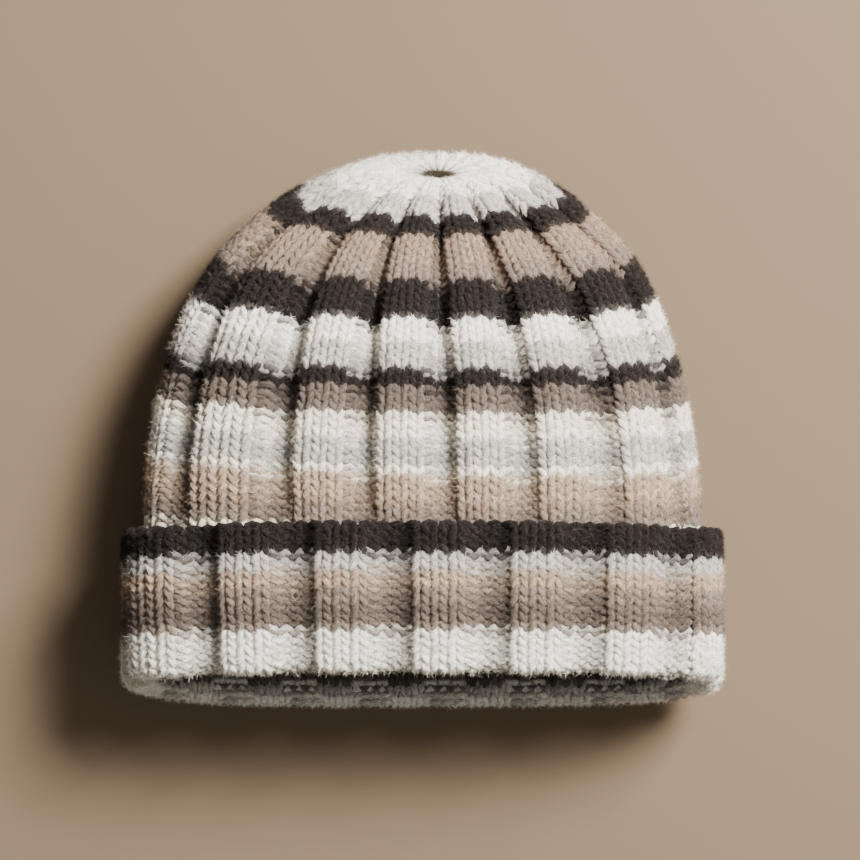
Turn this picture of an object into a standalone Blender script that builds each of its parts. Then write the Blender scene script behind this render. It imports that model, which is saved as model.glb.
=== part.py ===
"""A ribbed wool beanie with a turned-up cuff, lying on its back with its crown towards +Y.

The knitted body is one seamless wall: a flattened tube that closes into the crown, with wide knit panels
that stand up between sunken purl channels. At the rim the same wall folds outwards and back up as the cuff.
The side that lies on the table is flattened by it.
"""

import math
from collections import namedtuple

import bmesh
import bpy
import numpy as np

# Driving dimensions, in metres
BEANIE_LENGTH = 0.2105  # from the rim's fold line at the back to the far side of the crown
BODY_WIDTH = 0.213
BODY_LOFT = 0.086  # height of the stuffed-out body above the table
WALL = 0.005  # thickness of the brushed knitted fabric
RIB_DEPTH = 0.0045  # from the top of a knit panel down to the purl channel beside it
CUFF_HEIGHT = 0.0545
CUFF_RIB_DEPTH = 0.0032
CUFF_SIDE_DROP = 0.003  # how much lower the cuff's edge lies at the two sides
BODY_FRONT_SPREAD = -0.05  # how much wider than the average the ribs are at the middle of the front
CUFF_FRONT_SPREAD = 0.06
LINING_RIB_DEPTH = 0.0018  # how far the channels stand into the hollow where the cuff presses the body flat
LAYER_CLEARANCE = 0.0008  # between the body and the cuff that lies on it
FOLD_JOINT_GAP = 0.0003  # between the body's end and the fold that carries it on

# The rib pattern: knit panels and purl channels, counted around the head
RIB_COUNT = 16
POINTS_PER_RIB = 8
BODY_PANEL_PLACE = -0.27  # middle of the panel nearest the front's centre line, in ribs to the right of it
CUFF_PANEL_PLACE = BODY_PANEL_PLACE + 0.48  # the fold shows the wrong side, so panels and channels swap
CUFF_KNIT_SHARE = 0.54
PANEL_CREST = 0.55  # how round the panels are: a small value gives flat panels with steep sides

SIDE_PULL_SHARPNESS = 6  # how far into the corners of the rim its pulled-back sides stay

# Mesh density
BODY_RINGS = 17
LINING_RINGS = 11
CROWN_CROWDING = 1.5  # rings lie closer together towards the crown
CROWN_END = 0.985  # the last ring of the outside, just short of the gathered centre
LINING_END = 0.93
FOLD_STEPS = 4
EDGE_ROLL = 0.3  # rounding of the cuff's free edge, as a share of WALL
LINING_RIB_START = 0.10  # where, along the rows, the lining's ribs are full
OVAL_SAMPLES = 360
MERIDIAN_SAMPLES = 160

# The body's outside, one row for each ring of fabric from the fold line to the gathered centre.
# along: share of the knitted rows. front_ and back_run: place along BEANIE_LENGTH at the top of the ring
# and at the table. front_ and back_rise: height there as a share of BODY_LOFT. side_pull: how far the sides lie
# towards the crown, as a share of BEANIE_LENGTH. half_width: share of half of BODY_WIDTH. lean: shift to the
# right as a share of BODY_WIDTH. front_ and back_full: how full the flattened oval is, 2 for an ellipse and
# more for a squarer one. rib: share of RIB_DEPTH. knit: share of each rib that is knit panel.
Section = namedtuple(
    "Section",
    "along front_run front_rise back_run back_rise side_pull half_width lean front_full back_full rib knit",
)
SECTIONS = (
    Section(0.00, 0.088, 0.895, 0.000, 0.090, 0.005, 0.996, 0.000, 2.90, 3.60, 0.00, 0.50),
    Section(0.13, 0.216, 0.955, 0.172, 0.088, 0.002, 0.992, 0.000, 2.90, 3.60, 0.05, 0.54),
    Section(0.27, 0.354, 0.985, 0.340, 0.075, 0.000, 0.984, 0.000, 2.75, 3.50, 0.70, 0.57),
    Section(0.34, 0.418, 0.995, 0.428, 0.025, 0.000, 0.978, 0.000, 2.55, 3.40, 0.98, 0.58),
    Section(0.45, 0.531, 1.000, 0.561, -0.010, 0.000, 0.942, 0.000, 2.30, 3.30, 1.00, 0.58),
    Section(0.55, 0.617, 0.980, 0.669, -0.012, 0.000, 0.893, 0.000, 2.20, 3.20, 1.00, 0.60),
    Section(0.65, 0.704, 0.900, 0.782, -0.012, 0.000, 0.817, 0.002, 2.12, 3.00, 1.00, 0.68),
    Section(0.74, 0.778, 0.800, 0.870, -0.005, 0.000, 0.715, 0.005, 2.06, 2.70, 0.90, 0.78),
    Section(0.83, 0.856, 0.680, 0.949, 0.080, 0.000, 0.535, 0.011, 2.00, 2.40, 0.75, 0.82),
    Section(0.90, 0.908, 0.580, 0.986, 0.190, 0.000, 0.375, 0.018, 2.00, 2.20, 0.60, 0.78),
    Section(0.96, 0.940, 0.500, 0.992, 0.320, 0.000, 0.205, 0.025, 2.00, 2.00, 0.45, 0.72),
    Section(1.00, 0.953, 0.445, 0.956, 0.430, 0.000, 0.010, 0.030, 2.00, 2.00, 0.10, 0.70),
)

CHARCOAL_WOOL = (0.045, 0.036, 0.033)
NATURAL_WOOL = (0.62, 0.58, 0.52)
WOOL_ROUGHNESS = 0.95


def column(name, along):
    """One column of the section table, read smoothly at any place along the rows."""
    places = np.array([row.along for row in SECTIONS])
    values = np.array([getattr(row, name) for row in SECTIONS])
    slopes = np.gradient(values, places)
    cell = int(np.clip(np.searchsorted(places, along) - 1, 0, len(places) - 2))
    span = places[cell + 1] - places[cell]
    t = (along - places[cell]) / span
    return float(
        values[cell] * (2 * t**3 - 3 * t**2 + 1)
        + slopes[cell] * span * (t**3 - 2 * t**2 + t)
        + values[cell + 1] * (3 * t**2 - 2 * t**3)
        + slopes[cell + 1] * span * (t**3 - t**2)
    )


def oval(half_width, half_depth, front_full, back_full, shares):
    """Points on a flattened oval at these shares of its girth, clockwise from its top: x and height, -1 to 1."""
    angle = np.linspace(0.0, 2.0 * math.pi, OVAL_SAMPLES + 1)
    fullness = np.where(np.cos(angle) >= 0.0, front_full, back_full)
    across = np.sign(np.sin(angle)) * np.abs(np.sin(angle)) ** (2.0 / fullness)
    height = np.sign(np.cos(angle)) * np.abs(np.cos(angle)) ** (2.0 / fullness)
    steps = np.hypot(np.diff(across) * half_width, np.diff(height) * half_depth)
    girth = np.concatenate([[0.0], np.cumsum(steps)])
    girth /= girth[-1]
    wrapped = np.mod(shares, 1.0)
    return np.interp(wrapped, girth, across), np.interp(wrapped, girth, height)


def envelope(along, shares):
    """The body's outside before its ribs are pressed in, as rows of x, y, z."""
    row = Section(*(column(name, along) for name in Section._fields))
    front = np.array([row.front_run * BEANIE_LENGTH, row.front_rise * BODY_LOFT])
    back = np.array([row.back_run * BEANIE_LENGTH, row.back_rise * BODY_LOFT])
    half_width = row.half_width * BODY_WIDTH / 2.0
    half_depth = np.linalg.norm(front - back) / 2.0
    across, height = oval(half_width, half_depth, row.front_full, row.back_full, shares)
    middle = (front + back) / 2.0
    reach = (front - back) / 2.0
    pull = row.side_pull * BEANIE_LENGTH * np.abs(across) ** SIDE_PULL_SHARPNESS
    return np.column_stack([
        across * half_width + row.lean * BODY_WIDTH,
        middle[0] + height * reach[0] + pull,
        middle[1] + height * reach[1],
    ])


def directions(along, shares):
    """Unit vectors that point out of the fabric and along it towards the crown."""
    step = 0.006
    girth_step = 0.004
    low, high = max(along - step, 0.0), min(along + step, 1.0)
    towards_crown = envelope(high, shares) - envelope(low, shares)
    around = envelope(along, shares + girth_step) - envelope(along, shares - girth_step)
    outwards = np.cross(around, towards_crown)
    outwards /= np.linalg.norm(outwards, axis=1, keepdims=True)
    towards_crown /= np.linalg.norm(towards_crown, axis=1, keepdims=True)
    return outwards, towards_crown


def panel_height(shares, panel_place, knit_share):
    """1 on a knit panel, 0 in a purl channel, with rounded shoulders between them."""
    place = np.mod(shares * RIB_COUNT - panel_place + 0.5, 1.0) - 0.5
    inside = np.abs(place) / knit_share < 0.5
    to_panel = np.cos(math.pi * np.clip(np.abs(place) / knit_share, 0.0, 0.5))
    to_channel = -np.cos(math.pi * np.clip((0.5 - np.abs(place)) / (1.0 - knit_share), 0.0, 0.5))
    wave = np.where(inside, to_panel, to_channel)
    flattened = wave / np.sqrt(wave**2 + PANEL_CREST**2) * math.sqrt(1.0 + PANEL_CREST**2)
    return 0.5 + 0.5 * flattened


def girth_shares():
    """The places around the head where a ring has its points, the same for every ring."""
    count = RIB_COUNT * POINTS_PER_RIB
    return (np.arange(count) + 0.5) / count + BODY_PANEL_PLACE / RIB_COUNT


def spread_to_front(shares, front_spread):
    """The same places with the ribs wider at the middle of the front and narrower at the back."""
    return shares + front_spread * np.sin(2.0 * math.pi * shares) / (2.0 * math.pi)


def flattened_by_table(points):
    """The underside is pressed flat where it rests."""
    points[:, 2] = np.maximum(points[:, 2], 0.0)
    return points


def body_ring(along, lining):
    """A ring of the body's ribbed outside, or of the lining face under it."""
    shares = spread_to_front(girth_shares(), BODY_FRONT_SPREAD)
    outwards, _ = directions(along, shares)
    channel = 1.0 - panel_height(girth_shares(), BODY_PANEL_PLACE, column("knit", along))
    rib = column("rib", along)
    points = flattened_by_table(envelope(along, shares) - outwards * (channel * rib * RIB_DEPTH)[:, None])
    if not lining:
        return points
    fold_fade = min(along / LINING_RIB_START, 1.0)
    relief = channel * (1.0 - rib) * fold_fade * LINING_RIB_DEPTH
    return points - outwards * (WALL + relief)[:, None]


def along_at(length):
    """The place along the rows, at the front, this far from the fold line."""
    places = np.linspace(0.0, 1.0, MERIDIAN_SAMPLES)
    top = np.array([envelope(place, np.array([0.0]))[0] for place in places])
    run = np.concatenate([[0.0], np.cumsum(np.linalg.norm(np.diff(top, axis=0), axis=1))])
    return float(np.interp(length, run, places))


def cuff_shares():
    """Places around the body that lie evenly spaced around the wider cuff outside it."""
    fine = np.linspace(0.0, 1.0, OVAL_SAMPLES + 1)
    along = along_at(CUFF_HEIGHT / 2.0)
    outwards, _ = directions(along, fine)
    middle = envelope(along, fine) + outwards * (LAYER_CLEARANCE + WALL)
    run = np.concatenate([[0.0], np.cumsum(np.linalg.norm(np.diff(middle, axis=0), axis=1))])
    wanted = spread_to_front(girth_shares(), CUFF_FRONT_SPREAD)
    return np.interp(np.mod(wanted, 1.0), run / run[-1], fine)


def cuff_ring(shares, length, offset, rib_share):
    """A ring of the cuff: a distance up from the fold line, and an offset out from the body."""
    side = np.abs(np.sin(2.0 * math.pi * shares)) ** 4
    drop = CUFF_SIDE_DROP * side * max(length, 0.0) / CUFF_HEIGHT
    along = along_at(max(length, 0.0))
    outwards, towards_crown = directions(along, shares)
    ribs = panel_height(girth_shares(), CUFF_PANEL_PLACE, CUFF_KNIT_SHARE) * CUFF_RIB_DEPTH * rib_share
    points = envelope(along, shares) + outwards * (offset + ribs)[:, None]
    points += towards_crown * (min(length, 0.0) - drop)[:, None]
    return flattened_by_table(points)


def cuff_rings():
    """The cuff's closed profile, ring by ring: down its outside, around the fold, and up its inside."""
    shares = cuff_shares()
    inside = LAYER_CLEARANCE
    outside = LAYER_CLEARANCE + WALL
    edge_roll = EDGE_ROLL * WALL
    shoulder = CUFF_HEIGHT - edge_roll
    rings = [
        cuff_ring(shares, shoulder, inside, 1.0),
        cuff_ring(shares, CUFF_HEIGHT, inside + edge_roll, 1.0),
        cuff_ring(shares, CUFF_HEIGHT, outside - edge_roll, 1.0),
    ]
    for share in (1.0, 0.5, 0.0):
        rings.append(cuff_ring(shares, shoulder * share, outside, 1.0))
    middle = (outside - WALL) / 2.0
    radius = (outside + WALL) / 2.0
    for step in range(1, FOLD_STEPS):
        turn = math.pi * step / FOLD_STEPS
        offset = middle + radius * math.cos(turn)
        rings.append(cuff_ring(shares, -radius * math.sin(turn), offset, 0.5 + 0.5 * math.cos(turn)))
    rings.append(cuff_ring(shares, 0.0, -WALL, 0.0))
    rings.append(cuff_ring(shares, 0.0, 0.0, 0.0))
    rings.append(cuff_ring(shares, FOLD_JOINT_GAP, inside, 0.5))
    rings.append(cuff_ring(shares, shoulder * 0.5, inside, 1.0))
    return rings


def body_rings():
    """The body's outside from the fold line to the crown, and its lining face back again."""
    start = along_at(FOLD_JOINT_GAP)
    rings = []
    for ring in range(BODY_RINGS):
        share = 1.0 - (1.0 - ring / (BODY_RINGS - 1)) ** CROWN_CROWDING
        rings.append(body_ring(start + (CROWN_END - start) * share, False))
    for ring in range(LINING_RINGS):
        share = 1.0 - (1.0 - ring / (LINING_RINGS - 1)) ** CROWN_CROWDING
        rings.append(body_ring(start + (LINING_END - start) * share, True))
    return rings


def add_loop(shape, points):
    """A closed loop of edges through these points."""
    corners = [shape.verts.new(point) for point in points]
    return [shape.edges.new((a, b)) for a, b in zip(corners, corners[1:] + corners[:1])]


def loft(shape, loops):
    """Walls of quads between each loop of edges and the next."""
    for low, high in zip(loops, loops[1:]):
        bmesh.ops.bridge_loops(shape, edges=low + high)


def close_crown(shape, loop):
    """A fan of faces over the gathered centre."""
    face = bmesh.ops.contextual_create(shape, geom=loop)["faces"][0]
    bmesh.ops.poke(shape, faces=[face])


def wool(name, colour):
    material = bpy.data.materials.new(name)
    material.use_nodes = True
    shader = material.node_tree.nodes["Principled BSDF"]
    shader.inputs["Base Color"].default_value = (*colour, 1.0)
    shader.inputs["Roughness"].default_value = WOOL_ROUGHNESS
    return material


def finish(name, shape, material, shift):
    """The shape as an object, moved so that the beanie stands centred on the origin."""
    bmesh.ops.translate(shape, verts=shape.verts, vec=shift)
    bmesh.ops.recalc_face_normals(shape, faces=shape.faces)
    mesh = bpy.data.meshes.new(name)
    shape.to_mesh(mesh)
    shape.free()
    mesh.shade_smooth()
    mesh.materials.append(material)
    thing = bpy.data.objects.new(name, mesh)
    bpy.context.scene.collection.objects.link(thing)
    return thing


def knitted_body():
    shape = bmesh.new()
    rings = body_rings()
    outside = [add_loop(shape, ring) for ring in rings[:BODY_RINGS]]
    lining = [add_loop(shape, ring) for ring in rings[BODY_RINGS:]]
    loft(shape, outside)
    loft(shape, lining)
    loft(shape, [outside[0], lining[0]])
    close_crown(shape, outside[-1])
    close_crown(shape, lining[-1])
    return shape


def turned_cuff():
    shape = bmesh.new()
    loops = [add_loop(shape, ring) for ring in cuff_rings()]
    loft(shape, loops + loops[:1])
    return shape


def shift_to_centre(shapes):
    """What moves the middle of the whole box's underside to the origin."""
    corners = np.array([corner.co for shape in shapes for corner in shape.verts])
    low, high = corners.min(axis=0), corners.max(axis=0)
    return (-(low[0] + high[0]) / 2.0, -(low[1] + high[1]) / 2.0, -low[2])


for thing in list(bpy.data.objects):
    bpy.data.objects.remove(thing)

body, cuff = knitted_body(), turned_cuff()
shift = shift_to_centre([body, cuff])
finish("knitted_body", body, wool("natural_wool", NATURAL_WOOL), shift)
finish("turned_cuff", cuff, wool("charcoal_wool", CHARCOAL_WOOL), shift)
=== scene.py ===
"""A striped beanie in brushed wool, three by three rib with a turned-up cuff, lying on its back."""

import math
from collections import namedtuple

import bmesh
import bpy
import numpy as np
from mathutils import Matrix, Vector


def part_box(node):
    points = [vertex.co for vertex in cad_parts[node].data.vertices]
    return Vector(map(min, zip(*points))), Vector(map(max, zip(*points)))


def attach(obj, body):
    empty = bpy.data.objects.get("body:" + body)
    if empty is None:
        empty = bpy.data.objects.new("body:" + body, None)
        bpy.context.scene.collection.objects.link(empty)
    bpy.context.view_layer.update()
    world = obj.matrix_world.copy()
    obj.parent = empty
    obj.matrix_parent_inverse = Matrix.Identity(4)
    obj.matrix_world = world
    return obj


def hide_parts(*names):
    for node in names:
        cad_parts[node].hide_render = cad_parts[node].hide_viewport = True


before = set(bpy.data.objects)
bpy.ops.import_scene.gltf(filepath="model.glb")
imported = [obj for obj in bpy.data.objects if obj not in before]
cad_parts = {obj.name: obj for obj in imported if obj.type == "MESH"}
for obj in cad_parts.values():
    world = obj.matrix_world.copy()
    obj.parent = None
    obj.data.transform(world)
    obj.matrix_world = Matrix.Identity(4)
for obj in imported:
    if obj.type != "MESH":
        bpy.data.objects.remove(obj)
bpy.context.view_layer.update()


# The camera looks straight down on the beanie from 1.3 m, through a long lens.
CAMERA_PLACE = (0.0032, 0.0004, 1.30)
CAMERA_LENS = 139.2
CAMERA_SENSOR = 36.0

camera_data = bpy.data.cameras.new("overhead_camera")
camera_data.lens = CAMERA_LENS
camera_data.sensor_width = CAMERA_SENSOR
camera = bpy.data.objects.new("overhead_camera", camera_data)
camera.location = CAMERA_PLACE
bpy.context.scene.collection.objects.link(camera)
bpy.context.scene.camera = camera


# A plain table, one large light from the upper right, and a soft room around them that is brightest at the
# lower right.
TABLE_COLOUR = (0.132, 0.089, 0.051)
TABLE_ROUGHNESS = 0.85
TABLE_HALF_WIDTH = 2.5
KEY_DIRECTION = (0.61, 0.55, 1.00)
KEY_DISTANCE = 1.5
KEY_SIZE = 0.52
KEY_POWER = 106.0
KEY_COLOUR = (1.0, 0.98, 0.95)
ROOM_COLOUR = (1.0, 0.97, 0.94)
ROOM_BRIGHT_SIDE = (0.80, -0.60, 0.0)
ROOM_DARKEST = 0.10
ROOM_BRIGHTEST = 0.60


def set_inputs(node, values):
    """Constants on a node's own sockets, by the sockets' names."""
    for name, value in values.items():
        node.inputs[name].default_value = value


def map_range(tree, value, from_low, from_high, to_low=0.0, to_high=1.0):
    """A value carried from one range to another and held within it."""
    node = tree.nodes.new("ShaderNodeMapRange")
    set_inputs(node, {"From Min": from_low, "From Max": from_high, "To Min": to_low, "To Max": to_high})
    tree.links.new(value, node.inputs["Value"])
    return node.outputs["Result"]


def vector_math(tree, operation, *values):
    """A vector node; each value is another node's output or a constant."""
    node = tree.nodes.new("ShaderNodeVectorMath")
    node.operation = operation
    for socket, value in zip(node.inputs, values):
        if isinstance(value, bpy.types.NodeSocket):
            tree.links.new(value, socket)
        else:
            socket.default_value = value
    return node


def new_piece(name, mesh, material):
    mesh.materials.append(material)
    piece = bpy.data.objects.new(name, mesh)
    bpy.context.scene.collection.objects.link(piece)
    return piece


table_material = bpy.data.materials.new("pale_table")
table_material.use_nodes = True
set_inputs(
    table_material.node_tree.nodes["Principled BSDF"],
    {"Base Color": (*TABLE_COLOUR, 1.0), "Roughness": TABLE_ROUGHNESS},
)
table_shape = bmesh.new()
bmesh.ops.create_grid(table_shape, x_segments=1, y_segments=1, size=TABLE_HALF_WIDTH)
table_mesh = bpy.data.meshes.new("table_top")
table_shape.to_mesh(table_mesh)
table_shape.free()
table_top = new_piece("table_top", table_mesh, table_material)

key_data = bpy.data.lights.new("window_light", "AREA")
key_data.shape = "SQUARE"
key_data.size = KEY_SIZE
key_data.energy = KEY_POWER
key_data.color = KEY_COLOUR
key_light = bpy.data.objects.new("window_light", key_data)
key_way = np.array(KEY_DIRECTION) / np.linalg.norm(KEY_DIRECTION)
key_light.location = key_way * KEY_DISTANCE
key_light.rotation_euler = key_light.location.to_track_quat("Z", "Y").to_euler()
bpy.context.scene.collection.objects.link(key_light)

room = bpy.data.worlds.new("soft_room")
room.use_nodes = True
background = room.node_tree.nodes["Background"]
background.inputs["Color"].default_value = (*ROOM_COLOUR, 1.0)
way_round = room.node_tree.nodes.new("ShaderNodeTexCoord")
sides = vector_math(room.node_tree, "DOT_PRODUCT", way_round.outputs["Generated"], ROOM_BRIGHT_SIDE)
brightness = map_range(room.node_tree, sides.outputs["Value"], -1.0, 1.0, ROOM_DARKEST, ROOM_BRIGHTEST)
room.node_tree.links.new(brightness, background.inputs["Strength"])
bpy.context.scene.world = room


# The body: one seamless knitted tube, flattened by the table it lies on and gathered at the crown. Under its
# stitches lies the matted ground of the brushed wool, a closed wall that fills the gaps between the yarns.
BEANIE_LENGTH = 0.2105
BODY_WIDTH = 0.213
BODY_LOFT = 0.086
WALL = 0.005
SIDE_PULL_SHARPNESS = 6

RIB_COUNT = 16
RIB_DEPTH = 0.0045
RIB_PULL = 0.0032
BODY_PANEL_PLACE = -0.27
BODY_FRONT_SPREAD = -0.05
PANEL_CREST = 0.40
CHANNEL_SKEW = 0.05
SHOULDER = 0.09
BODY_SPREAD_START = 0.08
LEFT_SPREAD = 0.032
RIGHT_SPREAD = 0.008
TOP_FADE = 1.6

# A straight slope between 0 and 1: the place where it starts to rise, or is down to 0, and its width.
Slope = namedtuple("Slope", "place width")
PANELS_NARROW = Slope(0.60, 0.12)
PANEL_NARROWING = 0.08
PULL_GROWS = Slope(0.2, 0.2)
CROWN_SOFTENS = Slope(0.95, 0.10)
CROWN_RIB_SHARE = 0.25
CROWN_FLUTE = 0.0024
FLUTES_GROW = Slope(0.80, 0.06)
FLUTES_FADE = Slope(0.96, 0.09)
SPREAD_GROWS_OVER = 0.12
SPREAD_FADES = Slope(0.5, 0.2)

# Runs and the side pull are shares of the beanie's length, rises of its loft, width and lean of its width.
Section = namedtuple(
    "Section",
    "along front_run front_rise back_run back_rise side_pull half_width lean front_full back_full rib knit",
)
SECTIONS = (
    Section(0.00, 0.088, 0.895, 0.000, 0.090, 0.005, 0.996, 0.000, 2.90, 3.60, 0.00, 0.50),
    Section(0.13, 0.216, 0.955, 0.172, 0.088, 0.002, 0.992, 0.000, 2.90, 3.60, 0.05, 0.54),
    Section(0.27, 0.354, 0.985, 0.340, 0.075, 0.000, 0.984, 0.000, 2.75, 3.50, 0.70, 0.57),
    Section(0.34, 0.418, 0.995, 0.428, 0.025, 0.000, 0.978, 0.000, 2.55, 3.40, 0.98, 0.58),
    Section(0.45, 0.531, 1.000, 0.561, -0.010, 0.000, 0.942, 0.000, 2.30, 3.30, 1.00, 0.58),
    Section(0.55, 0.617, 0.980, 0.669, -0.012, 0.000, 0.893, 0.000, 2.20, 3.20, 1.00, 0.60),
    Section(0.65, 0.704, 0.900, 0.782, -0.012, 0.000, 0.817, 0.002, 2.12, 3.00, 1.00, 0.68),
    Section(0.74, 0.778, 0.800, 0.870, -0.005, 0.000, 0.715, 0.005, 2.06, 2.70, 0.90, 0.78),
    Section(0.83, 0.856, 0.680, 0.949, 0.080, 0.000, 0.535, 0.011, 2.00, 2.40, 0.75, 0.82),
    Section(0.90, 0.908, 0.580, 0.986, 0.190, 0.000, 0.375, 0.018, 2.00, 2.20, 0.60, 0.78),
    Section(0.96, 0.940, 0.500, 0.992, 0.320, 0.000, 0.205, 0.025, 2.00, 2.00, 0.45, 0.72),
    Section(1.00, 0.953, 0.445, 0.956, 0.430, 0.000, 0.010, 0.030, 2.00, 2.00, 0.10, 0.70),
)
ALONG = np.linspace(0.0, 1.0, 241)
ROUND = np.arange(1024) / 1024.0
OVAL_POINTS = 721
NO_LENGTH = 1e-12

# The yarns, as they look in daylight, and the stripes they make from the fold line up to the crown.
YARNS = {
    "charcoal": (0.0090, 0.0066, 0.0056),
    "taupe": (0.132, 0.102, 0.084),
    "mink": (0.205, 0.157, 0.127),
    "sand": (0.270, 0.195, 0.142),
    "beige": (0.385, 0.285, 0.203),
    "cream": (0.860, 0.780, 0.630),
    "mist": (0.470, 0.435, 0.385),
    "white": (0.905, 0.852, 0.732),
}
ROW_HEIGHT = 0.0033
FIRST_ROW = 0.00065
ROW_LAG = 0.0024
# The rows are drawn towards the crown at the left and at the back, most of all near the cuff's upper edge.
ROW_DRIFT = 0.0023
DRIFT_TO_LEFT = 0.45
Drift = namedtuple("Drift", "length share")
ROW_DRIFTS = (
    Drift(0.000, 0.0),
    Drift(0.040, 1.9),
    Drift(0.068, 1.7),
    Drift(0.100, 0.9),
    Drift(0.130, 0.7),
    Drift(0.178, 0.0),
)
Stripe = namedtuple("Stripe", "rows yarn")
BODY_STRIPES = (
    Stripe(1, "white"), Stripe(1, "taupe"), Stripe(4, "charcoal"), Stripe(3, "taupe"), Stripe(3, "beige"),
    Stripe(3, "cream"), Stripe(2, "mink"), Stripe(1, "sand"), Stripe(3, "beige"), Stripe(1, "cream"),
    Stripe(3, "mist"), Stripe(1, "white"), Stripe(2, "cream"), Stripe(3, "taupe"), Stripe(2, "charcoal"),
    Stripe(3, "mist"), Stripe(3, "white"), Stripe(5, "charcoal"), Stripe(2, "mink"), Stripe(4, "sand"),
    Stripe(3, "charcoal"), Stripe(3, "mist"), Stripe(3, "white"),
)


def stripe_rows(stripes):
    """One colour for each knitted row."""
    return np.array([YARNS[stripe.yarn] for stripe in stripes for _ in range(stripe.rows)])


def column(name, along):
    """One column of the section table, read smoothly at any place along the rows."""
    places = np.array([row.along for row in SECTIONS])
    values = np.array([getattr(row, name) for row in SECTIONS])
    slopes = np.gradient(values, places)
    cell = int(np.clip(np.searchsorted(places, along) - 1, 0, len(places) - 2))
    span = places[cell + 1] - places[cell]
    t = (along - places[cell]) / span
    return float(
        values[cell] * (2 * t**3 - 3 * t**2 + 1)
        + slopes[cell] * span * (t**3 - 2 * t**2 + t)
        + values[cell + 1] * (3 * t**2 - 2 * t**3)
        + slopes[cell + 1] * span * (t**3 - t**2)
    )


def oval(half_width, half_depth, front_full, back_full, shares):
    """x and height, -1 to 1, on a flattened oval at shares of its girth, clockwise from its top."""
    angle = np.linspace(0.0, 2.0 * math.pi, OVAL_POINTS)
    fullness = np.where(np.cos(angle) >= 0.0, front_full, back_full)
    across = np.sign(np.sin(angle)) * np.abs(np.sin(angle)) ** (2.0 / fullness)
    height = np.sign(np.cos(angle)) * np.abs(np.cos(angle)) ** (2.0 / fullness)
    steps = np.hypot(np.diff(across) * half_width, np.diff(height) * half_depth)
    girth = np.concatenate([[0.0], np.cumsum(steps)])
    girth /= girth[-1]
    wrapped = np.mod(shares, 1.0)
    return np.interp(wrapped, girth, across), np.interp(wrapped, girth, height)


def envelope(along, shares):
    """The body's outside before its ribs are pressed in, as rows of x, y, z."""
    row = Section(*(column(name, along) for name in Section._fields))
    front = np.array([row.front_run * BEANIE_LENGTH, row.front_rise * BODY_LOFT])
    back = np.array([row.back_run * BEANIE_LENGTH, row.back_rise * BODY_LOFT])
    half_width = row.half_width * BODY_WIDTH / 2.0
    half_depth = np.linalg.norm(front - back) / 2.0
    across, height = oval(half_width, half_depth, row.front_full, row.back_full, shares)
    middle = (front + back) / 2.0
    reach_over = (front - back) / 2.0
    pull = row.side_pull * BEANIE_LENGTH * np.abs(across) ** SIDE_PULL_SHARPNESS
    return np.column_stack([
        across * half_width + row.lean * BODY_WIDTH,
        middle[0] + height * reach_over[0] + pull,
        middle[1] + height * reach_over[1],
    ])


def spread_to_front(shares, front_spread):
    """The same places with the ribs wider at the middle of the front and narrower at the back."""
    return shares + front_spread * np.sin(2.0 * math.pi * shares) / (2.0 * math.pi)


def unit(vectors):
    return vectors / np.maximum(np.linalg.norm(vectors, axis=-1, keepdims=True), NO_LENGTH)


def outward_and_crownward(grid):
    """Unit vectors out of a grid of fabric points, and along it towards the crown."""
    crownward = np.gradient(grid, axis=0)
    around = np.roll(grid, -1, axis=1) - np.roll(grid, 1, axis=1)
    return unit(np.cross(around, crownward)), unit(crownward)


def read_grid(grid, along, share):
    """A grid of fabric points read between its lines, closed around the head."""
    lines, columns = grid.shape[:2]
    a = np.clip(along, 0.0, 1.0) * (lines - 1)
    i = np.minimum(a.astype(int), lines - 2)
    b = np.mod(share, 1.0) * columns
    j = b.astype(int) % columns
    low_share = (a - i)[..., None]
    left_share = (b - np.floor(b))[..., None]
    low = grid[i, j] * (1.0 - left_share) + grid[i, (j + 1) % columns] * left_share
    high = grid[i + 1, j] * (1.0 - left_share) + grid[i + 1, (j + 1) % columns] * left_share
    return low * (1.0 - low_share) + high * low_share


def rising(values, place, width):
    """0 up to this place and 1 from its width further on."""
    return np.clip((values - place) / width, 0.0, 1.0)


def falling(values, place, width):
    """1 up to its width before this place and 0 from there on."""
    return np.clip((place - values) / width, 0.0, 1.0)


def between_ribs(place):
    """0 at a rib's middle and 1 halfway to the next, as a wave; place is in ribs."""
    return 0.5 - 0.5 * np.cos(2.0 * math.pi * place)


def skewed(place):
    """Places across a rib, with the deepest line of its channel moved to the right."""
    return place - CHANNEL_SKEW * between_ribs(place)


def panel_height(place, knit_share):
    """1 on a knit panel, 0 in a purl channel, with rounded shoulders; place is in ribs from its middle."""
    place = np.abs(np.mod(place + 0.5, 1.0) - 0.5)
    to_panel = np.cos(math.pi * np.clip(place / knit_share, 0.0, 0.5))
    to_channel = -np.cos(math.pi * np.clip((0.5 - place) / (1.0 - knit_share), 0.0, 0.5))
    wave = np.where(place / knit_share < 0.5, to_panel, to_channel)
    return 0.5 + 0.5 * wave / np.sqrt(wave**2 + PANEL_CREST**2) * math.sqrt(1.0 + PANEL_CREST**2)


def on_upper_side(share):
    """1 on the upper side, fading to 0 towards the left and right edges; share is around the head."""
    return np.clip(TOP_FADE * np.cos(2.0 * math.pi * share), 0.0, 1.0)


def spread_at_sides(share, start, left, right):
    """The ribs lie further apart towards the sides, most at the left; share is around the head."""
    across = np.mod(share + 0.5, 1.0) - 0.5
    far = rising(np.abs(across), start, SPREAD_GROWS_OVER)
    reach = np.where(across < 0.0, -left, right)
    return share + reach * far**2 * (3.0 - 2.0 * far) * falling(np.abs(across), *SPREAD_FADES)


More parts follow.
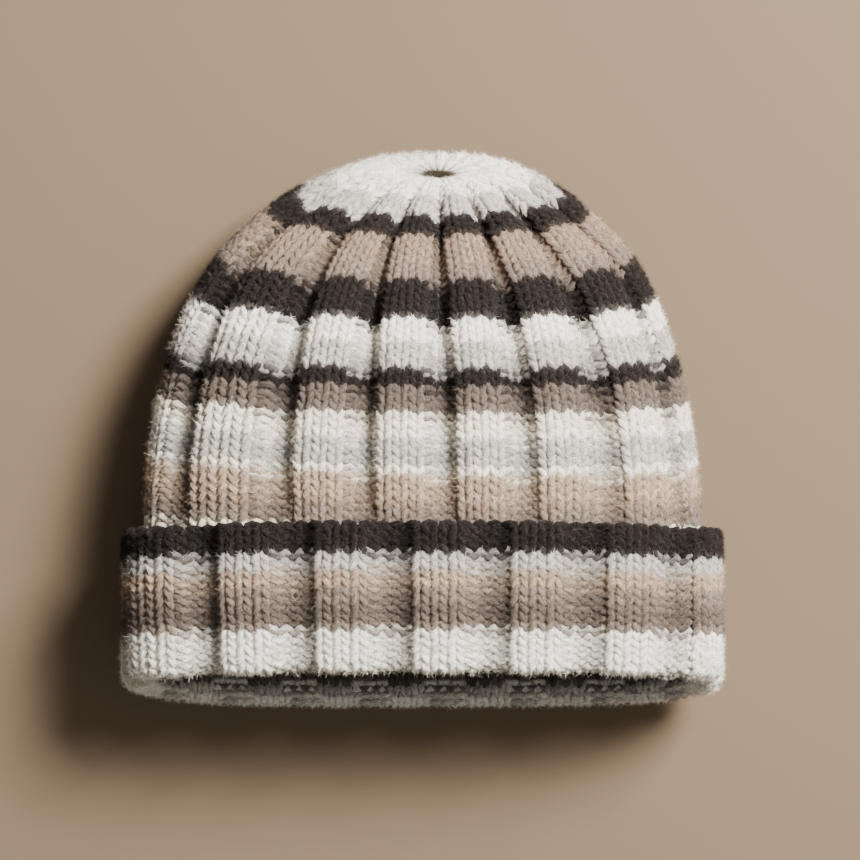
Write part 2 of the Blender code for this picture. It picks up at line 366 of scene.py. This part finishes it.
body_grid = np.array([envelope(along, spread_to_front(ROUND, BODY_FRONT_SPREAD)) for along in ALONG])
node_low, node_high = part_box("knitted_body")
body_shift = np.array([
    (node_low[0] + node_high[0] - body_grid[..., 0].min() - body_grid[..., 0].max()) / 2.0,
    node_high[1] - body_grid[..., 1].max(),
    0.0,
])
body_grid += body_shift
body_out, _ = outward_and_crownward(body_grid)
front_run = np.concatenate([[0.0], np.cumsum(np.linalg.norm(np.diff(body_grid[:, 0], axis=0), axis=1))])
rib_along = np.array([column("rib", along) for along in ALONG])
knit_along = np.array([column("knit", along) for along in ALONG])
knit_along -= PANEL_NARROWING * rising(ALONG, *PANELS_NARROW)


def on_body(length, place, depth):
    """Points of the body and the way out of it.

    Length is up from the fold line, place is in ribs around the head, and depth is inwards from outside.
    """
    share = spread_at_sides(place / RIB_COUNT, BODY_SPREAD_START, LEFT_SPREAD, RIGHT_SPREAD)
    along = np.interp(length, front_run, ALONG)
    rib_place = place - BODY_PANEL_PLACE
    channel = 1.0 - panel_height(rib_place, np.interp(along, ALONG, knit_along))
    lag = ROW_LAG * channel * np.interp(along, ALONG, rib_along)
    turn = 2.0 * math.pi * share
    drift = ROW_DRIFT * (1.0 - DRIFT_TO_LEFT * np.sin(turn) - np.cos(turn))
    drift *= np.interp(length, *zip(*ROW_DRIFTS))
    along = np.interp(length + drift - lag, front_run, ALONG)
    channel = 1.0 - panel_height(skewed(rib_place), np.interp(along, ALONG, knit_along) + SHOULDER)
    outside = read_grid(body_grid, along, share)
    outward = unit(read_grid(body_out, along, share))
    crown = falling(along, *CROWN_SOFTENS)
    pull = RIB_PULL * rising(along, *PULL_GROWS) * crown * on_upper_side(share)
    kept_depth = CROWN_RIB_SHARE + (1.0 - CROWN_RIB_SHARE) * crown
    sunk = channel * (np.interp(along, ALONG, rib_along) * RIB_DEPTH * kept_depth + pull)
    flute = rising(along, *FLUTES_GROW) * falling(along, *FLUTES_FADE)
    sunk += CROWN_FLUTE * flute * between_ribs(rib_place)
    outside = outside - outward * sunk[..., None]
    outside[..., 2] = np.maximum(outside[..., 2], 0.0)
    return outside - outward * depth[..., None], outward


# Wool is the yarn's own colour, with streaks along the strand, a mottle, and pale specks in it: partly single
# pale fibres, partly painted glints of light on fibres.
WOOL_SHADER = {
    "Roughness": 0.95,
    "Specular IOR Level": 0.06,
    "Sheen Weight": 0.03,
    "Sheen Roughness": 0.5,
    "Subsurface Weight": 0.5,
    "Subsurface Radius": (1.0, 0.9, 0.75),
    "Subsurface Scale": 0.0012,
}
STREAKS = {"Scale": 1.0, "Detail": 4.0, "Roughness": 0.7}
MOTTLE = {"Scale": 1500.0, "Detail": 3.0, "Roughness": 0.65}
PALE_FIBRES_AND_GLINTS = {"Scale": 2600.0, "Detail": 2.0}
PALE_FIBRE_AND_GLINT_COLOUR = (0.040, 0.031, 0.026)
BRIGHTEST_WOOL = (0.97, 0.95, 0.89)
UNEVEN_LEAST = 0.75
UNEVEN_MOST = 1.25
DARKEST_STREAK = 0.48
LIGHTEST_STREAK = 1.46
PALE_LEAST = 0.50
PALE_MOST = 0.72
RELIEF = 0.0010
SPUN_STREAKS = (5.0, 22.0)
SPUN_BUMP = 0.8
MATTED_STREAKS = (1.0, 1.0)
MATTED_BUMP = 0.5


def noise(tree, vector, values):
    node = tree.nodes.new("ShaderNodeTexNoise")
    set_inputs(node, values)
    tree.links.new(vector, node.inputs["Vector"])
    return node.outputs["Fac"]


def wool_material(name, streak_scale, bump):
    """Brushed wool, with streaks at this scale along and around the strand."""
    material = bpy.data.materials.new(name)
    material.use_nodes = True
    tree = material.node_tree
    shader = tree.nodes["Principled BSDF"]
    set_inputs(shader, WOOL_SHADER)
    colour = tree.nodes.new("ShaderNodeAttribute")
    colour.attribute_name = "wool"
    strand = tree.nodes.new("ShaderNodeUVMap")
    strand.uv_map = "strand"
    stretch = tree.nodes.new("ShaderNodeMapping")
    stretch.inputs["Scale"].default_value = (*streak_scale, 1.0)
    tree.links.new(strand.outputs["UV"], stretch.inputs["Vector"])
    place = tree.nodes.new("ShaderNodeTexCoord")
    uneven = tree.nodes.new("ShaderNodeMath")
    uneven.operation = "ADD"
    tree.links.new(noise(tree, stretch.outputs["Vector"], STREAKS), uneven.inputs[0])
    tree.links.new(noise(tree, place.outputs["Object"], MOTTLE), uneven.inputs[1])
    lightness = map_range(
        tree, uneven.outputs["Value"], UNEVEN_LEAST, UNEVEN_MOST, DARKEST_STREAK, LIGHTEST_STREAK
    )
    tinted = vector_math(tree, "SCALE", colour.outputs["Color"])
    tree.links.new(lightness, tinted.inputs["Scale"])
    pale = map_range(tree, noise(tree, place.outputs["Object"], PALE_FIBRES_AND_GLINTS), PALE_LEAST, PALE_MOST)
    specked = vector_math(tree, "MULTIPLY_ADD", PALE_FIBRE_AND_GLINT_COLOUR, pale, tinted.outputs["Vector"])
    kept = vector_math(tree, "MINIMUM", specked.outputs["Vector"], BRIGHTEST_WOOL)
    tree.links.new(kept.outputs["Vector"], shader.inputs["Base Color"])
    relief = tree.nodes.new("ShaderNodeBump")
    set_inputs(relief, {"Strength": bump, "Distance": RELIEF})
    tree.links.new(uneven.outputs["Value"], relief.inputs["Height"])
    tree.links.new(relief.outputs["Normal"], shader.inputs["Normal"])
    return material


def keep_colours(mesh, colours):
    """The wool's colour at each corner point of a mesh."""
    layer = mesh.attributes.new("wool", "FLOAT_COLOR", "POINT")
    flat = np.column_stack([np.clip(colours, 0.0, 1.0), np.ones(len(colours))])
    layer.data.foreach_set("color", flat.astype(np.float32).ravel())


def place_piece(piece, node):
    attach(piece, "root")
    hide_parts(node)


def row_colours(rows, colours, first, height):
    """The colour at any length: that of the nearest row."""
    nearest = np.clip(((rows - first) / height + 0.5).astype(int), 0, len(colours) - 1)
    return colours[nearest]


GROUND_COLUMNS = 128
GROUND_THICKNESS = 0.0020
# Painted shade: the matted ground takes its rows' yarn colour darkened, for the shade in the gaps between the
# yarns.
GROUND_PAINTED_SHADE = 0.80
GROUND_START = 0.0006
CROWN_STOP = 0.1990
GROUND_STEPS = 56
SAME_POINT = 0.00001
ground_wool = wool_material("matted_wool", MATTED_STREAKS, MATTED_BUMP)


def ground_wall(name, fabric, lengths, colours, gathered):
    """The closed wall of matted wool within the fabric: a sheet bent up its outside and back inside.

    A gathered wall is drawn together to a point at its far end, as at the crown.
    """
    row_points = GROUND_COLUMNS + 1
    places = np.arange(row_points) * RIB_COUNT / GROUND_COLUMNS
    up_and_back = np.concatenate([lengths, lengths[::-1], lengths[:1]])
    tints = np.concatenate([colours, colours[::-1], colours[:1]])
    side = np.concatenate([-np.ones(len(lengths)), np.ones(len(lengths)), -np.ones(1)])
    depth = WALL / 2.0 + side * GROUND_THICKNESS / 2.0
    points, _ = fabric(
        np.repeat(up_and_back, row_points), np.tile(places, len(side)), np.repeat(depth, row_points)
    )
    if gathered:
        far_end = slice((len(lengths) - 1) * row_points, (len(lengths) + 1) * row_points)
        points[far_end] = points[far_end].mean(axis=0)
    sheet = bmesh.new()
    bmesh.ops.create_grid(sheet, x_segments=GROUND_COLUMNS, y_segments=len(side) - 1, size=1.0)
    wool = sheet.verts.layers.float_color.new("wool")
    for corner, point, tint in zip(sheet.verts, points, np.repeat(tints, row_points, axis=0)):
        corner.co = point
        corner[wool] = (*tint, 1.0)
    bmesh.ops.remove_doubles(sheet, verts=sheet.verts, dist=SAME_POINT)
    bmesh.ops.recalc_face_normals(sheet, faces=sheet.faces)
    mesh = bpy.data.meshes.new(name)
    sheet.to_mesh(mesh)
    sheet.free()
    mesh.uv_layers.new(name="strand")
    mesh.shade_smooth()
    return new_piece(name, mesh, ground_wool)


body_rows = stripe_rows(BODY_STRIPES)
ground_lengths = np.linspace(GROUND_START, CROWN_STOP, GROUND_STEPS)
ground_colours = row_colours(ground_lengths, body_rows, FIRST_ROW, ROW_HEIGHT) * GROUND_PAINTED_SHADE
body_ground = ground_wall("body_ground", on_body, ground_lengths, ground_colours, gathered=True)
place_piece(body_ground, "knitted_body")


# The body's stitches: each row is one strand of thick soft yarn, looped through the row below it. Three knit
# stitches stand beside three purl stitches, and towards the crown the purls, then the knits, are decreased.
YARN_RADIUS = 0.00146
YARN_SIDES = 5
YARN_STEPS = 10
HIDDEN_STEPS = 7
LOOP_SWAY = 0.235
LOOP_RISE = 0.86
LOOP_DEPTH = 0.00105
LOOP_BLEND = 0.5 * math.pi
TABLE_CLEARANCE = 0.0001
UNEVEN_TILT = 0.02
UNEVEN_SWAY = 0.10
UNEVEN_RISE = 0.05
UNEVEN_DEPTH = 0.00012
UNEVEN_RADIUS = 0.07
STRAND_STARTS = 100.0
WOOL_SEED = 7

MATTING = 0.26
MATTING_SHARPNESS = 1.5
# Painted shadow: purl stitches darken across each channel towards the next knit panel, and that panel's first
# knit stitch a little, where the panel's shadow falls under the light from the right.
CHANNEL_PAINTED_SHADOW = 0.44
CHANNEL_PAINTED_SHADOW_CURVE = 0.8
PANEL_EDGE_PAINTED_SHADOW = 0.15
# Painted shade: each yarn tube is darkened on its sides and inner side, and loops set back in the fabric are
# darker than loops standing forward.
DEEP_SHADE = 0.74
FRONT_LIGHT = 0.25
UNEVEN_STITCH_TINT = 0.07
UNEVEN_STEP_TINT = 0.06

Strand = namedtuple("Strand", "steps rings centres tangent lift side front level hollow")
RibRow = namedtuple("RibRow", "start knits purls")
BODY_RIB_ROWS = (
    RibRow(0.000, 3, 3),
    RibRow(0.125, 3, 2),
    RibRow(0.141, 3, 1),
    RibRow(0.168, 3, 0),
    RibRow(0.183, 2, 0),
)
StitchPiece = namedtuple("StitchPiece", "name first_row end_row")
HEM = StitchPiece("hem_stitches", 0, 14)
SIDE = StitchPiece("side_stitches", 14, 33)
UPPER = StitchPiece("upper_stitches", 33, 46)
CROWN = StitchPiece("crown_stitches", 46, len(body_rows))


def rib_stitches(knits, purls, knit_share, panel_place):
    """A row's stitches: starts and widths in ribs, knit (1) or purl (-1), and their painted shadow, growing
    across a channel towards the next panel.
    """
    starts, widths, kinds, painted_shadows = [], [], [], []
    knit_share = knit_share if purls else 1.0
    for rib in range(RIB_COUNT):
        left = rib + panel_place - knit_share / 2.0
        for stitch in range(knits):
            starts.append(left + knit_share * stitch / knits)
            widths.append(knit_share / knits)
            kinds.append(1.0)
            painted_shadows.append(PANEL_EDGE_PAINTED_SHADOW if purls and stitch == 0 else 0.0)
        for stitch in range(purls):
            starts.append(left + knit_share + (1.0 - knit_share) * stitch / purls)
            widths.append((1.0 - knit_share) / purls)
            kinds.append(-1.0)
            painted_shadows.append(((stitch + 1.0) / purls) ** CHANNEL_PAINTED_SHADOW_CURVE)
    return np.array(starts), np.array(widths), np.array(kinds), np.array(painted_shadows)


def yarn_row(fabric, length, upwards, height, stitches, radius, steps, random):
    """One row of yarn as a closed soft tube, and the way it runs, for the fibres brushed out of it."""
    starts, widths, kinds, painted_shadows = stitches
    turn = np.arange(steps) / steps * 2.0 * math.pi
    tilt = random.normal(0.0, UNEVEN_TILT, (len(starts), 1))
    sway = LOOP_SWAY * (1.0 + random.normal(0.0, UNEVEN_SWAY, (len(starts), 1)))
    along_stitch = turn / (2.0 * math.pi) + sway * np.sin(2.0 * turn) + tilt
    place = starts[:, None] + widths[:, None] * along_stitch
    rise = LOOP_RISE * (1.0 + random.normal(0.0, UNEVEN_RISE, (len(starts), 1)))
    lengths = length + upwards * height * -np.cos(turn) * rise
    before = np.clip(1.0 - turn / LOOP_BLEND, 0.0, 1.0) * 0.5
    after = np.clip(1.0 - (2.0 * math.pi - turn) / LOOP_BLEND, 0.0, 1.0) * 0.5
    kind = kinds[:, None] * (1.0 - before - after)
    kind = kind + np.roll(kinds, 1)[:, None] * before + np.roll(kinds, -1)[:, None] * after
    front = kind * -np.cos(2.0 * turn)
    depth = WALL / 2.0 - front * LOOP_DEPTH + random.normal(0.0, UNEVEN_DEPTH, (len(starts), 1))
    centres, outward = fabric(lengths.ravel(), place.ravel(), depth.ravel())
    tangent = unit(np.roll(centres, -1, axis=0) - np.roll(centres, 1, axis=0))
    side = unit(np.cross(tangent, outward))
    lift = np.cross(side, tangent)
    around = np.arange(YARN_SIDES) / YARN_SIDES * 2.0 * math.pi
    swell = radius * (1.0 + random.normal(0.0, UNEVEN_RADIUS, len(centres)))
    ring = np.cos(around)[None, :, None] * lift[:, None] - np.sin(around)[None, :, None] * side[:, None]
    rings = centres[:, None] + ring * swell[:, None, None]
    rings[..., 2] = np.maximum(rings[..., 2], TABLE_CLEARANCE)
    level = np.tile(-np.cos(turn), len(starts))
    return Strand(steps, rings, centres, tangent, lift, side, front.ravel(), level, np.repeat(painted_shadows, steps))


def matted_colours(strands, colours):
    """The colour at each step of each row: its own yarn, matted at its loops with the rows beside it,
    darkened by painted shadow in the purl channels.
    """
    tints = []
    for row, strand in enumerate(strands):
        after = colours[min(row + 1, len(colours) - 1)]
        before = colours[max(row - 1, 0)]
        share = MATTING * np.abs(strand.level[:, None]) ** MATTING_SHARPNESS
        tint = colours[row] * (1.0 - share) + np.where(strand.level[:, None] > 0.0, after, before) * share
        # Painted shadow in the purl channels.
        tints.append(tint * (1.0 - CHANNEL_PAINTED_SHADOW * strand.hollow[:, None]))
    return tints


def array_mesh(name, corners, faces):
    """A mesh of many small faces, all with the same number of corners."""
    mesh = bpy.data.meshes.new(name)
    mesh.vertices.add(len(corners))
    mesh.vertices.foreach_set("co", corners.astype(np.float32).ravel())
    mesh.loops.add(faces.size)
    mesh.loops.foreach_set("vertex_index", faces.astype(np.int32).ravel())
    mesh.polygons.add(len(faces))
    mesh.polygons.foreach_set("loop_start", np.arange(0, faces.size, faces.shape[1], dtype=np.int32))
    mesh.update(calc_edges=True)
    return mesh


def knitted_piece(name, strands, colours, random):
    """Rows of yarn joined into one mesh, with their colours and a strand map for the fibres along them."""
    corner_lists, face_lists, colour_lists, strand_lists = [], [], [], []
    first = 0
    outer = (1.0 + np.cos(np.arange(YARN_SIDES) / YARN_SIDES * 2.0 * math.pi)) / 2.0
    for strand, colour in zip(strands, colours):
        count = len(strand.rings)
        corner_lists.append(strand.rings.reshape(-1, 3))
        step, side = np.meshgrid(np.arange(count), np.arange(YARN_SIDES), indexing="ij")
        next_step = (step + 1) % count
        next_side = (side + 1) % YARN_SIDES
        quads = np.stack([
            step * YARN_SIDES + side,
            step * YARN_SIDES + next_side,
            next_step * YARN_SIDES + next_side,
            next_step * YARN_SIDES + side,
        ], axis=-1).reshape(-1, 4)
        face_lists.append(quads + first)
        first += count * YARN_SIDES
        mottle = np.repeat(random.normal(1.0, UNEVEN_STITCH_TINT, count // strand.steps), strand.steps)
        mottle = mottle * random.normal(1.0, UNEVEN_STEP_TINT, count)
        # Painted shade and light in the yarn's colour: darker on the tube's sides and on loops set back.
        lit = (1.0 - FRONT_LIGHT) + FRONT_LIGHT * strand.front[:, None]
        shade = DEEP_SHADE + (1.0 - DEEP_SHADE) * outer[None] * lit
        colour_lists.append((colour[:, None] * (mottle[:, None] * shade)[..., None]).reshape(-1, 3))
        start = random.uniform(0.0, STRAND_STARTS)
        strand_lists.append(np.stack([
            np.stack([start + step, side], axis=-1),
            np.stack([start + step, side + 1], axis=-1),
            np.stack([start + step + 1, side + 1], axis=-1),
            np.stack([start + step + 1, side], axis=-1),
        ], axis=2).reshape(-1, 2) / (strand.steps, YARN_SIDES))
    mesh = array_mesh(name, np.concatenate(corner_lists), np.concatenate(face_lists))
    strand_map = mesh.uv_layers.new(name="strand")
    strand_map.data.foreach_set("uv", np.concatenate(strand_lists).astype(np.float32).ravel())
    mesh.validate()
    keep_colours(mesh, np.concatenate(colour_lists))
    mesh.shade_smooth()
    return new_piece(name, mesh, spun_wool)


def body_row(row, random):
    length = FIRST_ROW + row * ROW_HEIGHT
    plan = [rib_row for rib_row in BODY_RIB_ROWS if rib_row.start <= length][-1]
    knit_share = float(np.interp(np.interp(length, front_run, ALONG), ALONG, knit_along))
    stitches = rib_stitches(plan.knits, plan.purls, knit_share, BODY_PANEL_PLACE)
    steps = HIDDEN_STEPS if row < HEM.end_row else YARN_STEPS
    return yarn_row(on_body, length, 1.0, ROW_HEIGHT, stitches, YARN_RADIUS, steps, random)


spun_wool = wool_material("spun_wool", SPUN_STREAKS, SPUN_BUMP)
random = np.random.default_rng(WOOL_SEED)
body_strands = [body_row(row, random) for row in range(len(body_rows))]
body_tints = matted_colours(body_strands, body_rows)
for name, first_row, end_row in (HEM, SIDE, UPPER, CROWN):
    stitches = knitted_piece(name, body_strands[first_row:end_row], body_tints[first_row:end_row], random)
    place_piece(stitches, "knitted_body")


# The cuff: the same fabric folded outwards at the rim and turned up, so it shows its wrong side, knitted from
# the cast-on edge at its top down to the fold. It has its own matted ground under the stitches.
CUFF_HEIGHT = 0.0545
CUFF_RIB_DEPTH = 0.0032
CUFF_PULL = 0.0021
CUFF_SPREAD_START = 0.14
CUFF_LEFT_SPREAD = 0.030
CUFF_SIDE_DROP = 0.003
CUFF_SIDE_SHARPNESS = 4
CUFF_FRONT_SPREAD = 0.06
CUFF_PANEL_PLACE = BODY_PANEL_PLACE + 0.44
CUFF_KNIT_SHARE = 0.54
CUFF_LAG_SHARE = 0.6
CUFF_LAG_GROWS_OVER = 0.009
LAYER_CLEARANCE = 0.0008
FOLD_RADIUS = (LAYER_CLEARANCE + WALL) / 2.0
CLOSE_BY = 0.006
CUFF_ROWS = 16
CUFF_ROW_HEIGHT = 0.0031
FOLD_ROWS = 3
CAST_ON_EDGE = 0.0044
CAST_ON_DROP = 0.0003
CAST_ON_HEIGHT = 0.0005
CAST_ON_RADIUS = 0.0013
CAST_ON_STEPS = 6
CUFF_GROUND_END = 0.001
CUFF_GROUND_STEPS = 18
FOLD_GROUND_START = 0.0005
FOLD_GROUND_STEPS = 7
CUFF_STRIPES = (
    Stripe(3, "charcoal"), Stripe(2, "mist"), Stripe(2, "beige"), Stripe(2, "mink"),
    Stripe(2, "taupe"), Stripe(1, "mink"), Stripe(7, "white"),
)

middle_along = float(np.interp(CUFF_HEIGHT / 2.0, front_run, ALONG))
around_body = np.linspace(0.0, 1.0, OVAL_POINTS)
near_middle = np.array([
    envelope(middle_along - CLOSE_BY, around_body),
    envelope(middle_along, around_body),
    envelope(middle_along + CLOSE_BY, around_body),
])
crownward = near_middle[2] - near_middle[0]
around = np.roll(near_middle[1][:-1], -1, axis=0) - np.roll(near_middle[1][:-1], 1, axis=0)
around = np.vstack([around, around[:1]])
cuff_round = near_middle[1] + unit(np.cross(around, crownward)) * (LAYER_CLEARANCE + WALL)
cuff_run = np.concatenate([[0.0], np.cumsum(np.linalg.norm(np.diff(cuff_round, axis=0), axis=1))])
cuff_places = np.interp(
    np.mod(spread_to_front(ROUND, CUFF_FRONT_SPREAD), 1.0), cuff_run / cuff_run[-1], around_body
)
cuff_grid = np.array([envelope(along, cuff_places) for along in ALONG]) + body_shift
cuff_out, cuff_crownward = outward_and_crownward(cuff_grid)
side_share = np.abs(np.sin(2.0 * math.pi * cuff_places)) ** CUFF_SIDE_SHARPNESS


def on_cuff(height, place, depth):
    """Points of the cuff and the way out of it: height is from the fold line, negative around the fold."""
    share = spread_at_sides(place / RIB_COUNT, CUFF_SPREAD_START, CUFF_LEFT_SPREAD, 0.0)
    bend = np.clip(-height / FOLD_RADIUS, 0.0, math.pi)
    drop = CUFF_SIDE_DROP * np.interp(np.mod(share, 1.0), ROUND, side_share) / CUFF_HEIGHT
    panel = panel_height(skewed(place - CUFF_PANEL_PLACE), CUFF_KNIT_SHARE + SHOULDER)
    free = rising(np.minimum(height, CUFF_HEIGHT - height), 0.0, CUFF_LAG_GROWS_OVER)
    lag = CUFF_LAG_SHARE * ROW_LAG * (1.0 - panel) * free
    along = np.interp(np.maximum(height, 0.0) * (1.0 - drop) - lag, front_run, ALONG)
    outward = unit(read_grid(cuff_out, along, share))
    to_crown = read_grid(cuff_crownward, along, share)
    turned = outward * np.cos(bend)[..., None] - to_crown * np.sin(bend)[..., None]
    pull = CUFF_PULL * on_upper_side(share)
    ribs = (panel * (CUFF_RIB_DEPTH + pull) - pull) * (0.5 + 0.5 * np.cos(bend))
    outside = read_grid(cuff_grid, along, share) + outward * (LAYER_CLEARANCE / 2.0 + ribs)[..., None]
    outside += turned * (FOLD_RADIUS + WALL / 2.0)
    outside[..., 2] = np.maximum(outside[..., 2], 0.0)
    return outside - turned * depth[..., None], turned


cuff_rows = stripe_rows(CUFF_STRIPES)
fold_length = math.pi * FOLD_RADIUS
fold_row_height = fold_length / FOLD_ROWS
cuff_lengths = [CUFF_HEIGHT - CAST_ON_EDGE - (row + 0.5) * CUFF_ROW_HEIGHT for row in range(CUFF_ROWS)]
cuff_lengths += [-(row + 0.5) * fold_row_height for row in range(FOLD_ROWS)]
cuff_heights = [CUFF_ROW_HEIGHT] * CUFF_ROWS + [fold_row_height] * FOLD_ROWS


def cuff_colour(length):
    row = np.searchsorted(-np.array(cuff_lengths) + CUFF_ROW_HEIGHT / 2.0, -length)
    return cuff_rows[np.clip(row, 0, len(cuff_rows) - 1)]


cuff_ground_lengths = np.concatenate([
    np.linspace(CUFF_HEIGHT - CAST_ON_EDGE, CUFF_GROUND_END, CUFF_GROUND_STEPS),
    -np.linspace(0.0, fold_length, FOLD_GROUND_STEPS)[:-1] - FOLD_GROUND_START,
])
# Painted shade in the cuff's ground, as in the body's.
cuff_ground_colours = cuff_colour(cuff_ground_lengths) * GROUND_PAINTED_SHADE
cuff_ground = ground_wall("cuff_ground", on_cuff, cuff_ground_lengths, cuff_ground_colours, gathered=False)
place_piece(cuff_ground, "turned_cuff")

full_rib = BODY_RIB_ROWS[0]
stitches = rib_stitches(full_rib.knits, full_rib.purls, CUFF_KNIT_SHARE, CUFF_PANEL_PLACE)
cuff_strands = [
    yarn_row(on_cuff, length, -1.0, height, stitches, YARN_RADIUS, YARN_STEPS, random)
    for length, height in zip(cuff_lengths, cuff_heights)
]
cuff_tints = matted_colours(cuff_strands, cuff_rows)
cuff_stitches = knitted_piece("cuff_stitches", cuff_strands, cuff_tints, random)
place_piece(cuff_stitches, "turned_cuff")

cast_on_length = CUFF_HEIGHT - CAST_ON_EDGE - CAST_ON_DROP
cast_on = yarn_row(
    on_cuff, cast_on_length, -1.0, CAST_ON_HEIGHT, stitches, CAST_ON_RADIUS, CAST_ON_STEPS, random
)
cast_on_tint = np.array([YARNS["charcoal"]] * len(cast_on.centres))
cast_on_edge = knitted_piece("cast_on_edge", [cast_on], [cast_on_tint], random)
place_piece(cast_on_edge, "turned_cuff")
edge_and_cuff_strands = [cast_on, *cuff_strands]
edge_and_cuff_tints = [cast_on_tint, *cuff_tints]


# Brushed fibres: the wool is raised with a brush after knitting, so fine hairs lie over the stitches, mostly
# the way their strands run, and some stand off in a soft halo. The pile is thickest on the dark stripes.
Brushing = namedtuple("Brushing", "shortest longest width halo")
PILE = Brushing(0.0014, 0.0030, 0.00015, 0.02)
HAIRS = Brushing(0.0020, 0.0042, 0.00009, 0.14)
FibrePiece = namedtuple("FibrePiece", "name first_row end_row count brushing")
FIRST_BRUSHED_ROW = 15
BODY_FIBRES = (
    FibrePiece("side_pile", FIRST_BRUSHED_ROW, SIDE.end_row, 48000, PILE),
    FibrePiece("upper_pile", UPPER.first_row, UPPER.end_row, 36000, PILE),
    FibrePiece("crown_pile", CROWN.first_row, CROWN.end_row, 34000, PILE),
    FibrePiece("body_hairs", FIRST_BRUSHED_ROW, CROWN.end_row, 80000, HAIRS),
)
CUFF_FIBRES = (
    FibrePiece("cuff_pile", 0, len(edge_and_cuff_strands), 66000, PILE),
    FibrePiece("cuff_hairs", 0, len(edge_and_cuff_strands), 52000, HAIRS),
)
DARK_YARN = 0.05
DARK_SHARE = 2.2
DARK_LENGTH = 0.9
DARK_SLOPE = 0.20
DARK_VEER = 1.2
VEER = 0.95
UNDERSIDE = -0.6
UNDERSIDE_SHARE = 0.35
STEEP = 0.45
STEEP_SHARE = 1.8
FRONT_LEAST = 0.05
FRONT_RAISED = 0.6
ROOT_SCATTER = 0.0006
ROOT_TURN = 0.50
ROOT_DEPTH = 0.97
STANDING_SLOPES = (0.4, 1.1)
STANDING_LENGTH = 0.7
LYING_SLOPE = 0.09
LYING_SLOPE_SPREAD = 0.08
WIDTHS = (0.7, 1.3)
FIBRE_CLEARANCE = 0.0002
TINT_MEAN = -0.03
TINT_SPREAD = 0.34
# Some fibres are lifted paler: partly pale fibres, partly painted glints of light on them.
PALE_AND_GLINT_TINT = 0.014
PALE_AND_GLINT_TINT_COLOUR = (1.0, 0.8, 0.7)


def brushed_fibres(plan, strands, colours, random):
    """Hairs rooted in the outer side of the yarn, each a thin tapering sliver."""
    centres, tangent, lift, side, front = (
        np.concatenate([getattr(strand, part) for strand in strands])
        for part in ("centres", "tangent", "lift", "side", "front")
    )
    colour = np.concatenate(colours)
    reach = np.concatenate([
        np.linalg.norm(np.roll(strand.centres, -1, axis=0) - strand.centres, axis=1) for strand in strands
    ])
    dark = colour.max(axis=1) < DARK_YARN
    steep = np.abs(lift[:, 2]) < STEEP
    weight = reach * np.clip(front + FRONT_RAISED, FRONT_LEAST, 1.0)
    weight = weight * np.where(lift[:, 2] < UNDERSIDE, UNDERSIDE_SHARE, 1.0)
    weight *= np.where(dark, DARK_SHARE, 1.0) * np.where(steep, STEEP_SHARE, 1.0)
    chosen = random.choice(len(centres), plan.count, p=weight / weight.sum())
    centres, tangent, lift, side, colour = (
        values[chosen] for values in (centres, tangent, lift, side, colour)
    )
    dark = dark[chosen, None]
    steep = steep[chosen, None]
    each = (plan.count, 1)
    centres = centres + tangent * random.uniform(-ROOT_SCATTER, ROOT_SCATTER, each)
    turn = np.clip(random.normal(0.0, ROOT_TURN, each), -1.0, 1.0)
    radial = np.cos(turn) * lift + np.sin(turn) * side
    sideways = np.cross(radial, tangent)
    veer = random.normal(0.0, 1.0, each) * np.where(dark, DARK_VEER, VEER)
    veer = veer + math.pi * random.integers(0, 2, each)
    heading = tangent * np.cos(veer) + sideways * np.sin(veer)
    brushing = plan.brushing
    stands = random.uniform(0.0, 1.0, each) < brushing.halo * np.where(steep, STEEP_SHARE, 1.0)
    standing = random.uniform(*STANDING_SLOPES, each)
    lying = np.abs(random.normal(LYING_SLOPE, LYING_SLOPE_SPREAD, each))
    slope = np.where(stands, standing, np.where(dark, lying + DARK_SLOPE, lying))
    length = random.uniform(brushing.shortest, brushing.longest, each) * np.where(dark, DARK_LENGTH, 1.0)
    length *= np.where(stands, STANDING_LENGTH, 1.0)
    root = centres + radial * YARN_RADIUS * ROOT_DEPTH
    tip = root + heading * length * np.cos(slope) + radial * length * np.sin(slope)
    flat = np.cross(heading, radial) * brushing.width * 0.5 * random.uniform(*WIDTHS, each)
    corners = np.stack([root - flat, root + flat, tip], axis=1)
    corners[..., 2] = np.maximum(corners[..., 2], FIBRE_CLEARANCE)
    mesh = array_mesh(plan.name, corners.reshape(-1, 3), np.arange(plan.count * 3).reshape(-1, 3))
    tint = colour * np.exp(random.normal(TINT_MEAN, TINT_SPREAD, each))
    # Pale fibres and painted glints on fibres.
    tint = tint + random.exponential(PALE_AND_GLINT_TINT, each) * PALE_AND_GLINT_TINT_COLOUR
    keep_colours(mesh, np.repeat(tint, 3, axis=0))
    return new_piece(plan.name, mesh, brushed_fibre)


brushed_fibre = bpy.data.materials.new("brushed_fibre")
brushed_fibre.use_nodes = True
fibre_tree = brushed_fibre.node_tree
fibre_shader = fibre_tree.nodes["Principled BSDF"]
set_inputs(fibre_shader, {"Roughness": 0.9, "Specular IOR Level": 0.08, "Sheen Weight": 0.03})
fibre_colour = fibre_tree.nodes.new("ShaderNodeAttribute")
fibre_colour.attribute_name = "wool"
fibre_tree.links.new(fibre_colour.outputs["Color"], fibre_shader.inputs["Base Color"])

for plan in BODY_FIBRES:
    rows = slice(plan.first_row, plan.end_row)
    fibres = brushed_fibres(plan, body_strands[rows], body_tints[rows], random)
    place_piece(fibres, "knitted_body")
for plan in CUFF_FIBRES:
    rows = slice(plan.first_row, plan.end_row)
    fibres = brushed_fibres(plan, edge_and_cuff_strands[rows], edge_and_cuff_tints[rows], random)
    place_piece(fibres, "turned_cuff")
